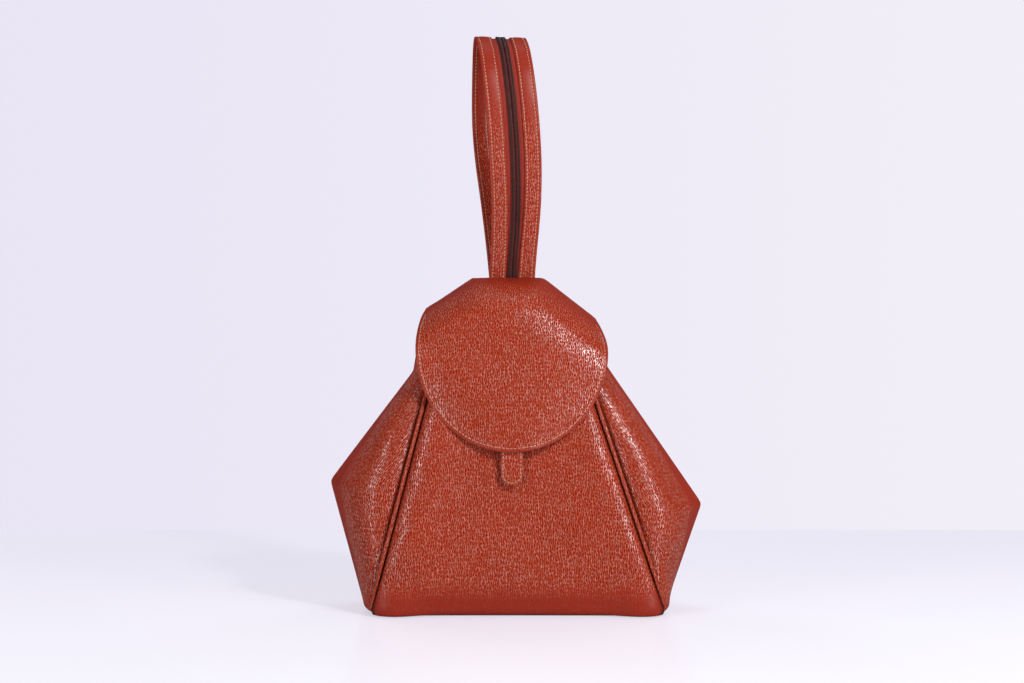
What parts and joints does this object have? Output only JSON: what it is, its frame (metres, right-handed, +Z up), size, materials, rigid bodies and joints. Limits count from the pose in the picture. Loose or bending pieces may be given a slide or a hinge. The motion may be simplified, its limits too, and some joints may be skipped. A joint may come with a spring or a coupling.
{
  "type": "sling backpack",
  "caption": "Soft leather backpack with outward-folded side wings, a round flap with a snap tab, and a zipped sling strap standing in a loop.",
  "frame": {"origin": "middle of the base panel's underside", "axes": "+Z up along the bag and its standing strap loop, -Y out of the front panel, +X to the right of a person facing the front"},
  "size_m": [0.368, 0.1451, 0.5739],
  "materials": {
    "leather": "pebbled, soft sheen",
    "edge_leather": "pebbled, soft sheen",
    "suede": "suede",
    "lining_cloth": "woven",
    "board": "pressed fibreboard",
    "zip_tape": "woven",
    "zip_coil": "satin nylon",
    "gunmetal": "dark plated",
    "steel": "plated"
  },
  "bodies": {
    "bag": {"back_panel": "leather", "base_board": "board", "base_panel": "edge_leather", "front_panel": "leather", "gusset_left": "leather", "gusset_right": "leather", "lining": "lining_cloth", "mouth_facing": "leather", "piping_back_left": "edge_leather", "piping_back_right": "edge_leather", "piping_front_left": "edge_leather", "piping_front_right": "edge_leather", "snap_socket": "gunmetal", "snap_socket_washer": "steel", "strap_back_left": "edge_leather", "strap_back_right": "edge_leather", "strap_face_left": "leather", "strap_face_right": "leather", "zip_stop_left": "gunmetal", "zip_stop_right": "gunmetal", "zip_tape_left": "zip_tape", "zip_tape_right": "zip_tape", "zip_teeth_left": "zip_coil", "zip_teeth_right": "zip_coil"},
    "flap": {"flap_outer": "leather", "flap_lining": "suede", "tab_outer": "leather", "tab_lining": "leather", "snap_stud": "gunmetal"},
    "slider": {"zip_slider": "gunmetal"},
    "pull": {"zip_pull": "gunmetal"}
  },
  "joints": [
    {"name": "flap_hinge", "type": "hinge", "parent": "bag", "child": "flap", "pos_m": [0, 0.0196, 0.33], "axis": [-1, 0, 0], "range_deg": [0, 75]},
    {"name": "zip_slide", "type": "slide", "parent": "bag", "child": "slider", "axis": [0, -0.115, 0.9934], "range_m": [0, 0.13], "deforming": ["zip_teeth_left", "zip_teeth_right"]},
    {"name": "pull_hinge", "type": "hinge", "parent": "slider", "child": "pull", "pos_m": [0, 0.05232, 0.17418], "axis": [1, 0, 0], "range_deg": [0, 170]}
  ]
}
